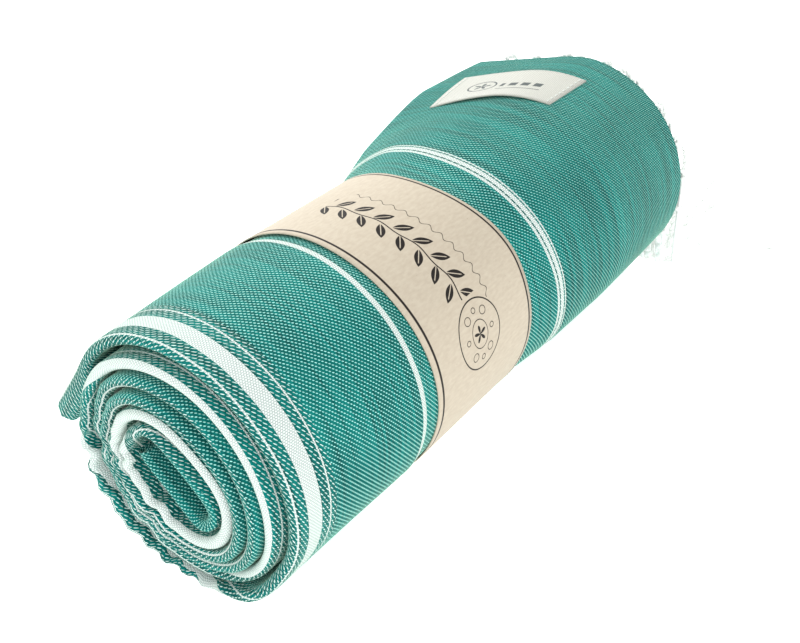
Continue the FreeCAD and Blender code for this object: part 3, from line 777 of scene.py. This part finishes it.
yarns, yarns_in, yarns_out = geometry_tree("fringe_yarns", [
    ("Yarn radius", "NodeSocketFloat", 0.0008), ("Knot radius", "NodeSocketFloat", 0.0015),
    ("Yarn", "NodeSocketMaterial", None)])
profile = node_of(yarns, "GeometryNodeCurvePrimitiveCircle", Resolution=6,
                  Radius=yarns_in.outputs["Yarn radius"])
swept = node_of(yarns, "GeometryNodeCurveToMesh", Fill_Caps=True,
                Curve=yarns_in.outputs["Geometry"], Profile_Curve=profile.outputs["Curve"])
ends = node_of(yarns, "GeometryNodeCurveEndpointSelection", Start_Size=0, End_Size=1)
knob = node_of(yarns, "GeometryNodeMeshIcoSphere", Subdivisions=2,
               Radius=yarns_in.outputs["Knot radius"])
tied = node_of(yarns, "GeometryNodeInstanceOnPoints", Points=yarns_in.outputs["Geometry"],
               Selection=ends.outputs["Selection"], Instance=knob.outputs["Mesh"])
together = yarns.nodes.new("GeometryNodeJoinGeometry")
yarns.links.new(swept.outputs["Mesh"], together.inputs[0])
yarns.links.new(tied.outputs["Instances"], together.inputs[0])
end_tree(yarns, together.outputs[0], yarns_in.outputs["Yarn"], yarns_out)

FRINGE_LENGTH = 52.0
LIES_AT = 1.0                        # the height of a yarn's middle where it lies on the floor
TOO_SHORT = 8.0                      # a yarn with less than this left over only hangs
# Each raw edge's column of the cloth, where its fringe starts and stops along the roll, the gap.
RAW_EDGES = [(0, 60, 900, 13.5), (-1, 70, 900, 17.0)]
draw = np.random.default_rng(11)
lines = []
for edge, first_run, last_run, gap in RAW_EDGES:
    for run in np.arange(first_run, last_run, gap):
        row = int(np.argmin(np.abs(row_run - run)))
        start = positions[row, edge]
        length = FRINGE_LENGTH * draw.uniform(0.85, 1.1)
        drift = draw.uniform(-2.0, 2.0)
        outward_by = 3.2 + 2.6 * draw.random()
        x, y, z = start
        line = [(x, y, z), (x + outward_by * 0.6, y, z),
                (x + outward_by, y + drift * 0.2, max(z - 2.5, LIES_AT))]
        fall = min(length, max(z - 3.5, 1.0))
        left = length - fall
        if left < TOO_SHORT:
            x = x + outward_by + 0.6
            for share in (0.3, 0.65, 1.0):
                line.append((x - share * 0.6, y + drift * share, z - 2.5 - (fall - 6) * share))
        else:
            spread = math.radians(draw.uniform(-28, 28))
            x, y = x + outward_by + 0.8, y + drift * 0.3
            line.append((x, y, max(z * 0.4, 2.2)))
            line.append((x + 2, y, LIES_AT))
            for share in (0.4, 0.75, 1.0):
                spread += math.radians(draw.uniform(-16, 16))
                line.append((x + 2 + left * share * math.cos(spread),
                             y + left * share * math.sin(spread),
                             LIES_AT + 0.7 * (share == 1.0)))
        lines.append(line)
fringe = grown_piece("towel_fringe", curve_of("fringe_paths", lines, 6), yarns,
                     Yarn_radius=0.00075, Knot_radius=0.0015, Yarn=fringe_yarn)
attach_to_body(fringe, "roll")

# ==== The label ====================================================================================
# A stiff woven tape, laid over the outer layer near the far rim. It is folded under at its two
# short ends and sewn down there; its long edges are free and stand a little proud.
label_tape, tree, shader = new_material("label_tape", 0.6, 0.2)
_, wide, tall = uv_in_mm(tree, "label")
satin = use_group(tree, floats, Along=tall, Across=wide, Float_length=0.9, Thread_width=0.36,
                  Step=0.4, Lean=0.0, Fullness=0.36)
tape = mixed(tree, satin.outputs["Float"], linear(184, 186, 176), linear(216, 215, 206))


def distance_of(tree, a, b):
    squares = math_of(tree, "MULTIPLY_ADD", a, a, math_of(tree, "MULTIPLY", b, b))
    return math_of(tree, "SQRT", squares)


def ring_mask(tree, x, y, centre, radii, half_line):
    """1 on an oval line round a centre."""
    a = math_of(tree, "DIVIDE", math_of(tree, "SUBTRACT", x, centre[0]), radii[0])
    b = math_of(tree, "DIVIDE", math_of(tree, "SUBTRACT", y, centre[1]), radii[1])
    out = distance_of(tree, a, b)
    off = math_of(tree, "ABSOLUTE", math_of(tree, "SUBTRACT", out, 1.0))
    return step_of(tree, off, half_line / min(radii) * 1.25, half_line / min(radii) * 0.75)


def sprig_mask(tree, x, y, centre, size, petals, turn=0.0):
    """1 inside a small flower of round-ended petals."""
    a = math_of(tree, "SUBTRACT", x, centre[0])
    b = math_of(tree, "SUBTRACT", y, centre[1])
    out = distance_of(tree, a, b)
    angle = math_of(tree, "MULTIPLY_ADD", math_of(tree, "ARCTAN2", b, a), petals / 2, turn)
    lobe = math_of(tree, "POWER", math_of(tree, "ABSOLUTE", math_of(tree, "COSINE", angle)), 1.6)
    over = math_of(tree, "SUBTRACT", out, math_of(tree, "MULTIPLY", lobe, size))
    return step_of(tree, over, 0.12, -0.12)


def either(tree, *masks):
    found = masks[0]
    for mask in masks[1:]:
        found = math_of(tree, "MAXIMUM", found, mask)
    return found


def bar_mask(tree, value, low, high):
    return math_of(tree, "MULTIPLY", step_of(tree, value, low - 0.1, low + 0.1),
                   step_of(tree, value, high + 0.1, high - 0.1))


BARS_FROM, BARS_TO, BAR_PITCH = 19.0, 34.6, 4.4
RING_AT = (13.0, 12.5)
beside_ring = bar_mask(tree, tall, BARS_FROM, BARS_TO)
dashes = math_of(tree, "FRACT", math_of(tree, "DIVIDE", tall, BAR_PITCH))
dash = math_of(tree, "MULTIPLY", bar_mask(tree, wide, 11.6, 14.6), beside_ring)
dash = math_of(tree, "MULTIPLY", dash, step_of(tree, dashes, 0.66, 0.62))
underline = math_of(tree, "MULTIPLY", bar_mask(tree, wide, 8.6, 9.1), beside_ring)
woven_mark = either(tree, ring_mask(tree, wide, tall, RING_AT, (4.6, 4.6), 0.3),
                    sprig_mask(tree, wide, tall, RING_AT, 3.0, 5), dash, underline)
colour_by(tree, shader, woven_mark, tape, linear(74, 84, 82))
bump_to(tree, shader, satin.outputs["Height"], 0.00012, 0.8)

cloth_tree = BVHTree.FromPolygons([v.co for v in roll_cloth.data.vertices],
                                  [tuple(p.vertices) for p in roll_cloth.data.polygons])


def on_cloth(x, y):
    """The height of the cloth under a place given in millimetres."""
    hit = cloth_tree.ray_cast(Vector((x * MM, y * MM, 0.2)), Vector((0, 0, -1)))
    return hit[0].z / MM


LABEL_CORNERS = np.array([[50.5, 25.0], [79.0, 29.0], [93.5, -14.5], [67.5, -14.5]])
LABEL_SIZE = (26.0, 43.0)
TAPE_LIFT, MIDDLE_LIFT, EDGE_LIFT = 0.45, 0.25, 0.9
across_count, along_count = 15, 27
verts, label_uv = [], []
for j in range(along_count):
    q = j / (along_count - 1)
    for i in range(across_count):
        p = i / (across_count - 1)
        x, y = ((1 - q) * ((1 - p) * LABEL_CORNERS[0] + p * LABEL_CORNERS[1])
                + q * ((1 - p) * LABEL_CORNERS[3] + p * LABEL_CORNERS[2]))
        edge = (2 * p - 1) ** 2
        middle = math.sin(math.pi * q)
        lift = TAPE_LIFT + (MIDDLE_LIFT + EDGE_LIFT * edge) * middle
        verts.append((x, y, on_cloth(x, y) + lift))
        label_uv.append((p * LABEL_SIZE[0], q * LABEL_SIZE[1]))
heights = np.array(verts)[:, 2].reshape(along_count, across_count)
for _ in range(3):
    heights[1:-1] = (heights[:-2] + 2 * heights[1:-1] + heights[2:]) / 4
    heights[:, 1:-1] = (heights[:, :-2] + 2 * heights[:, 1:-1] + heights[:, 2:]) / 4
verts = np.array(verts)
verts[:, 2] = heights.ravel()
faces = [(j * across_count + i, (j + 1) * across_count + i,
          (j + 1) * across_count + i + 1, j * across_count + i + 1)
         for j in range(along_count - 1) for i in range(across_count - 1)]
corners = [label_uv[k] for face in faces for k in face]
label = linked("towel_label_tape", uv_mesh("towel_label_tape", verts, faces, "label", corners))
label.data.materials.append(label_tape)


def thicken(piece, name, thickness, even=False):
    """Gives a sheet its thickness, on its inner side."""
    wall = piece.modifiers.new(name, "SOLIDIFY")
    wall.thickness = thickness * MM
    wall.offset = -1.0
    wall.use_even_offset = even


thicken(label, "tape", 0.5, even=True)
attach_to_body(label, "roll")
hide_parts("towel_label")

# The sewing thread: one row of short stitches through the tape and cloth at each short end.
sewing_thread, tree, shader = new_material("sewing_thread", 0.55, 0.2)
ply = noise_of(tree, place_of(tree), 3500, 2)
colour_by(tree, shader, ply, linear(188, 196, 190), linear(236, 240, 234))
bump_to(tree, shader, ply, 0.0001, 0.5)

stitch_tree, stitch_in, stitch_out = geometry_tree("stitch_row", [
    ("Stitch spacing", "NodeSocketFloat", 0.0026), ("Stitch length", "NodeSocketFloat", 0.0018),
    ("Thread radius", "NodeSocketFloat", 0.00025), ("Thread", "NodeSocketMaterial", None)])
spaced = node_of(stitch_tree, "GeometryNodeResampleCurve", Curve=stitch_in.outputs["Geometry"])
spaced.mode = "LENGTH"
attach(stitch_tree, spaced.inputs["Length"], stitch_in.outputs["Stitch spacing"])
stitch = node_of(stitch_tree, "GeometryNodeMeshUVSphere", Segments=8, Rings=6, Radius=1.0)
half = math_of(stitch_tree, "MULTIPLY", stitch_in.outputs["Stitch length"], 0.5)
shape = node_of(stitch_tree, "ShaderNodeCombineXYZ", X=stitch_in.outputs["Thread radius"],
                Y=stitch_in.outputs["Thread radius"], Z=half)
tangent = stitch_tree.nodes.new("GeometryNodeInputTangent")
turned = node_of(stitch_tree, "FunctionNodeAlignEulerToVector", Vector=tangent.outputs[0])
turned.axis = "Z"
sewn = node_of(stitch_tree, "GeometryNodeInstanceOnPoints", Points=spaced.outputs[0],
               Instance=stitch.outputs["Mesh"], Rotation=turned.outputs[0],
               Scale=shape.outputs[0])
end_tree(stitch_tree, sewn.outputs[0], stitch_in.outputs["Thread"], stitch_out)

THREAD_ABOVE = 0.12
rows_sewn = []
grid = verts.reshape(along_count, across_count, 3)
for j in (1, along_count - 2):
    rows_sewn.append([(x, y, z + THREAD_ABOVE) for x, y, z in grid[j, 1:-1:2]])
stitches = grown_piece("label_stitches_sewn", curve_of("stitch_rows", rows_sewn), stitch_tree,
                       Stitch_spacing=0.0026, Stitch_length=0.0018, Thread_radius=0.00025,
                       Thread=sewing_thread)
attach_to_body(stitches, "roll")
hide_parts("label_stitches")

# ==== The paper band ===============================================================================
# One strip of kraft paper wrapped round the roll and glued to itself where it laps, low on the
# loose end's side. It is printed with a border line near each edge and a plain ornament.
BAND_NEAR, NEAR_LEAN = -50.3, 3.3    # its near edge at the back, and how far it leans in front
BAND_FAR, FAR_LEAN = -1.8, 8.6       # and its far edge
BAND_WIDTH = 53.0                    # along the printed sheet
PAPER = 0.4
CLEARANCE = 0.15
UNDER_BAND = 0.8
PITCH_QUARTER = 1.5                  # the spiral's pitch over four: its arcs' centres are this far off
BAND_POINT_STEP, BAND_ROWS = 1.6, 25


def band_section(offset):
    """Points round the band, from the underside's +Y end over the top, and their run."""
    step = direction(LOOSE_END) * PITCH_QUARTER
    axis = np.array([0.0, AXIS_Z])
    big, middle, small = (OUTER_RADIUS + quarters * PITCH_QUARTER for quarters in (1, -1, -3))
    low = axis - step
    half_flat = math.sqrt(small ** 2 - (low[1] - UNDER_BAND) ** 2)
    flat = math.degrees(math.asin(half_flat / small))
    bridge = WRAP_END - math.degrees(math.acos(small / big))
    parts = [low + direction(np.linspace(flat - 90, bridge, 26)) * (small + offset),
             low + direction(np.linspace(WRAP_END, LOOSE_END, 26)) * (big + offset),
             axis + step + direction(np.linspace(LOOSE_END, LOOSE_END + 180, 74)[1:])
             * (middle + offset),
             low + direction(np.linspace(LOOSE_END + 180, 270 - flat, 26)[1:]) * (small + offset)]
    points = np.concatenate(parts)
    run = np.concatenate([[0], np.cumsum(np.linalg.norm(np.diff(points, axis=0), axis=1))])
    even = np.linspace(0, run[-1], int(run[-1] / BAND_POINT_STEP))
    even_points = np.stack([np.interp(even, run, points[:, i]) for i in range(2)], -1)
    return even_points, even, parts[0][-1], parts[1][0]


kraft_paper, tree, shader = new_material("kraft_paper", 0.62)
uv, x_mm, r_mm = uv_in_mm(tree, "band")
fibre = noise_of(tree, uv, 900, 4, (0.4, 1, 1))
speck = noise_of(tree, uv, 1700, 2)
paper = mixed(tree, step_of(tree, fibre, 0.2, 0.85),
              linear(186, 174, 155), linear(198, 188, 169))
paper = mixed(tree, step_of(tree, speck, 0.72, 0.78), paper, linear(150, 133, 108))
lines_printed = either(tree, bar_mask(tree, x_mm, 2.1, 3.0), bar_mask(tree, x_mm, 51.2, 51.9))

# The ornament: a leafy spray where it faces up, and an oval with a flower and buds beside it.
SPRAY, CELL = 23.0, 7.2              # its stem's distance from the near edge, one leaf's share
LEAF_HALF, LEAF_BELLY, LEAF_OUT = 3.6, 1.45, 3.4   # half a leaf's length and width, and its place


def leaf_mask(tree, x, y, shift, side):
    """1 inside a pointed leaf in each cell, on one side of the stem."""
    cell = math_of(tree, "FRACT", math_of(tree, "DIVIDE", math_of(tree, "ADD", y, shift), CELL))
    cell = math_of(tree, "MULTIPLY", math_of(tree, "SUBTRACT", cell, 0.5), CELL)
    off = math_of(tree, "MULTIPLY", math_of(tree, "SUBTRACT", x, SPRAY), side)
    off = math_of(tree, "SUBTRACT", off, LEAF_OUT)
    along = math_of(tree, "MULTIPLY_ADD", off, 0.80, math_of(tree, "MULTIPLY", cell, 0.60))
    over = math_of(tree, "MULTIPLY_ADD", off, -0.60, math_of(tree, "MULTIPLY", cell, 0.80))
    share = math_of(tree, "DIVIDE", along, LEAF_HALF)
    belly = math_of(tree, "MULTIPLY_ADD", math_of(tree, "MULTIPLY", share, share),
                    -LEAF_BELLY, LEAF_BELLY)
    over = math_of(tree, "ABSOLUTE", over)
    leaf = step_of(tree, math_of(tree, "SUBTRACT", over, belly), 0.08, -0.08)
    vein = math_of(tree, "MULTIPLY", step_of(tree, over, 0.20, 0.12), step_of(tree, share, 0.7, 0.5))
    return math_of(tree, "MULTIPLY", leaf, math_of(tree, "SUBTRACT", 1.0, vein))


section, run, bridge_start, bridge_end = band_section(CLEARANCE + PAPER)
RUN_TOP = float(run[np.argmax(section[:, 1])])
RUN_OVAL = RUN_TOP + 57.0


def wavy_line(tree, x, y, middle, size, pitch, half_line):
    """1 on a line that winds along the band round its middle."""
    wave = math_of(tree, "SINE", math_of(tree, "MULTIPLY", y, pitch))
    wave = math_of(tree, "MULTIPLY", wave, size)
    off = math_of(tree, "SUBTRACT", math_of(tree, "SUBTRACT", x, middle), wave)
    return step_of(tree, math_of(tree, "ABSOLUTE", off), half_line + 0.05, half_line - 0.05)


spray = either(tree, leaf_mask(tree, x_mm, r_mm, 0.0, 1.0),
               leaf_mask(tree, x_mm, r_mm, CELL / 2, -1.0),
               wavy_line(tree, x_mm, r_mm, SPRAY, 0.5, 0.436, 0.25))
spray = math_of(tree, "MULTIPLY", spray, bar_mask(tree, r_mm, RUN_TOP - 13.0, RUN_OVAL - 13.5))
ripple = math_of(tree, "MULTIPLY", wavy_line(tree, x_mm, r_mm, SPRAY + 10.5, 0.8, 1.4, 0.15),
                 bar_mask(tree, r_mm, RUN_TOP - 9, RUN_OVAL - 9))
OVAL_AT = 24.8
oval_centre = (OVAL_AT, RUN_OVAL)
oval = ring_mask(tree, x_mm, r_mm, oval_centre, (10.4, 12.0), 0.22)
flower = sprig_mask(tree, x_mm, r_mm, oval_centre, 3.0, 5, 0.8)
petals = ring_mask(tree, x_mm, r_mm, oval_centre, (3.9, 4.9), 0.13)
buds = [ring_mask(tree, x_mm, r_mm, (OVAL_AT + a, RUN_OVAL + b), (c, c), 0.14)
        for a, b, c in ((-4.0, -6.6, 1.4), (4.0, -6.6, 1.4), (-4.0, 6.6, 1.4), (4.0, 6.6, 1.4),
                        (0, -8.4, 0.9), (0, 8.4, 0.9), (-6.3, 0, 0.9), (6.3, 0, 0.9))]
ink = either(tree, lines_printed, spray, ripple, oval, flower, petals, *buds)
worn = math_of(tree, "MULTIPLY", ink, step_of(tree, speck, 0.0, 0.3))
colour_by(tree, shader, worn, paper, linear(26, 21, 17))
bump_to(tree, shader, fibre, 0.00008, 0.4)

# The strip's two edges lean: it was slipped on a little crooked.
angles = np.degrees(np.arctan2(section[:, 1] - AXIS_Z, section[:, 0]))
angles = (angles + 30) % 360 - 30
in_front = smooth(340, 225, angles)
near_edge = BAND_NEAR + NEAR_LEAN * smooth(90, 190, angles) * in_front
far_edge = BAND_FAR + FAR_LEAN * smooth(80, 148, angles) * in_front
count = len(section)
shares = np.linspace(0, 1, BAND_ROWS)
places, faces, corners = [], [], []
for share in shares:
    x = near_edge + (far_edge - near_edge) * share
    y, z = swollen(section[:, 0], section[:, 1], x)
    places.append(np.stack([x, y + AXIS_Y, z], -1))
for i in range(BAND_ROWS - 1):
    low, high = shares[i] * BAND_WIDTH, shares[i + 1] * BAND_WIDTH
    for j in range(count):
        k = (j + 1) % count
        after = run[k] if k else run[j] + run[1] - run[0]
        faces.append((i * count + j, i * count + k, (i + 1) * count + k, (i + 1) * count + j))
        corners.extend([(low, run[j]), (low, after), (high, after), (high, run[j])])
band = linked("paper_band_strip", uv_mesh("paper_band_strip", np.concatenate(places), faces,
                                          "band", corners))
band.data.materials.append(kraft_paper)
thicken(band, "paper", PAPER)
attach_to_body(band, "band")
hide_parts("paper_band")

# The lap: low at the back the strip's end passes over its own start, held by a line of glue.
LAP, GLUE, GLUE_INSET = 16.0, 0.1, 3.0
LAP_ROWS, LAP_POINTS = 20, 8
paper_glue, tree, shader = new_material("paper_glue", 0.35)
streaks = noise_of(tree, place_of(tree), 700, 3, (0.3, 1, 1))
colour_by(tree, shader, streaks, linear(214, 202, 170), linear(236, 228, 204))
bump_to(tree, shader, streaks, 0.0001, 0.4)


def strip_on_bridge(name, top, thickness, inset, material):
    """A flat strip over the band's straight stretch; top is its height above the paper."""
    way = (bridge_end - bridge_start) / np.linalg.norm(bridge_end - bridge_start)
    outward = np.array([way[1], -way[0]])
    reach = np.linspace(-1, 1, LAP_POINTS) * (LAP / 2 - inset)
    line = (bridge_start + bridge_end) / 2 + reach[:, None] * way + outward * top
    row_x = np.linspace(BAND_NEAR + inset, BAND_FAR - inset, LAP_ROWS)
    places, faces, corners = [], [], []
    for x in row_x:
        y, z = swollen(line[:, 0], line[:, 1], x)
        places.append(np.stack([np.full(LAP_POINTS, x), y + AXIS_Y, z], -1))
    for i in range(LAP_ROWS - 1):
        low, high = row_x[i] - BAND_NEAR, row_x[i + 1] - BAND_NEAR
        for j in range(LAP_POINTS - 1):
            k = i * LAP_POINTS + j
            faces.append((k, k + 1, k + 1 + LAP_POINTS, k + LAP_POINTS))
            corners.extend([(low, reach[j]), (low, reach[j + 1]), (high, reach[j + 1]),
                            (high, reach[j])])
    strip = linked(name, uv_mesh(name, np.concatenate(places), faces, "band", corners, False))
    strip.data.materials.append(material)
    thicken(strip, "paper", thickness)
    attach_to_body(strip, "band")
    return strip


lap = strip_on_bridge("paper_band_lap", GLUE + PAPER, PAPER, 0.0, kraft_paper)
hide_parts("band_lap")
glue = strip_on_bridge("paper_band_glue", GLUE, GLUE, GLUE_INSET, paper_glue)
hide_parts("band_glue")

# ==== The studio ===================================================================================
# A white floor and wide soft lights: one behind and above, one low in front, and a bright room.
FLOOR_HALF, FLOOR_GLOW, ROOM_GLOW = 3.0, 0.65, 0.95
floor_mesh = bpy.data.meshes.new("studio_floor")
floor_mesh.from_pydata([(x * FLOOR_HALF, y * FLOOR_HALF, 0)
                        for x, y in ((-1, -1), (1, -1), (1, 1), (-1, 1))], [], [(0, 1, 2, 3)])
floor = linked("studio_floor", floor_mesh)
floor_white, tree, shader = new_material("floor_white", 0.9)
colour_by(tree, shader, noise_of(tree, place_of(tree), 8), (0.93, 0.93, 0.93, 1),
          (0.96, 0.96, 0.96, 1))
shader.inputs["Emission Color"].default_value = (1, 1, 1, 1)
shader.inputs["Emission Strength"].default_value = FLOOR_GLOW
floor_mesh.materials.append(floor_white)

world = bpy.data.worlds.new("bright_room")
world.use_nodes = True
world.node_tree.nodes["Background"].inputs["Color"].default_value = (1, 1, 1, 1)
world.node_tree.nodes["Background"].inputs["Strength"].default_value = ROOM_GLOW
bpy.context.scene.world = world


def soft_light(name, place, aim, size, power):
    data = bpy.data.lights.new(name, "AREA")
    data.shape = "DISK"
    data.size = size
    data.energy = power
    lamp = linked(name, data)
    lamp.location = place
    lamp.rotation_euler = (Vector(aim) - Vector(place)).to_track_quat("-Z", "Y").to_euler()


ROLL_MIDDLE = (0, 0, 0.04)
soft_light("back_light", (0.35, 0.75, 0.75), ROLL_MIDDLE, 0.5, 9)
soft_light("front_light", (-0.7, -0.5, 0.6), ROLL_MIDDLE, 0.6, 3)

bpy.context.scene.view_settings.view_transform = "Standard"
AZIMUTH, ELEVATION, DISTANCE = math.radians(-53.5), math.radians(36.0), 0.433
SENSOR, LENS = 36, 57.465
aim = Vector((-0.0092, -0.00597, 0.0322))
away = Vector((math.sin(AZIMUTH) * math.cos(ELEVATION), -math.cos(AZIMUTH) * math.cos(ELEVATION),
               math.sin(ELEVATION)))
camera_data = bpy.data.cameras.new("camera")
camera_data.sensor_width = SENSOR
camera_data.lens = LENS
camera_data.clip_start = 0.01
camera = linked("camera", camera_data)
camera.location = aim + away * DISTANCE
camera.rotation_euler = (-away).to_track_quat("-Z", "Y").to_euler()
bpy.context.scene.camera = camera
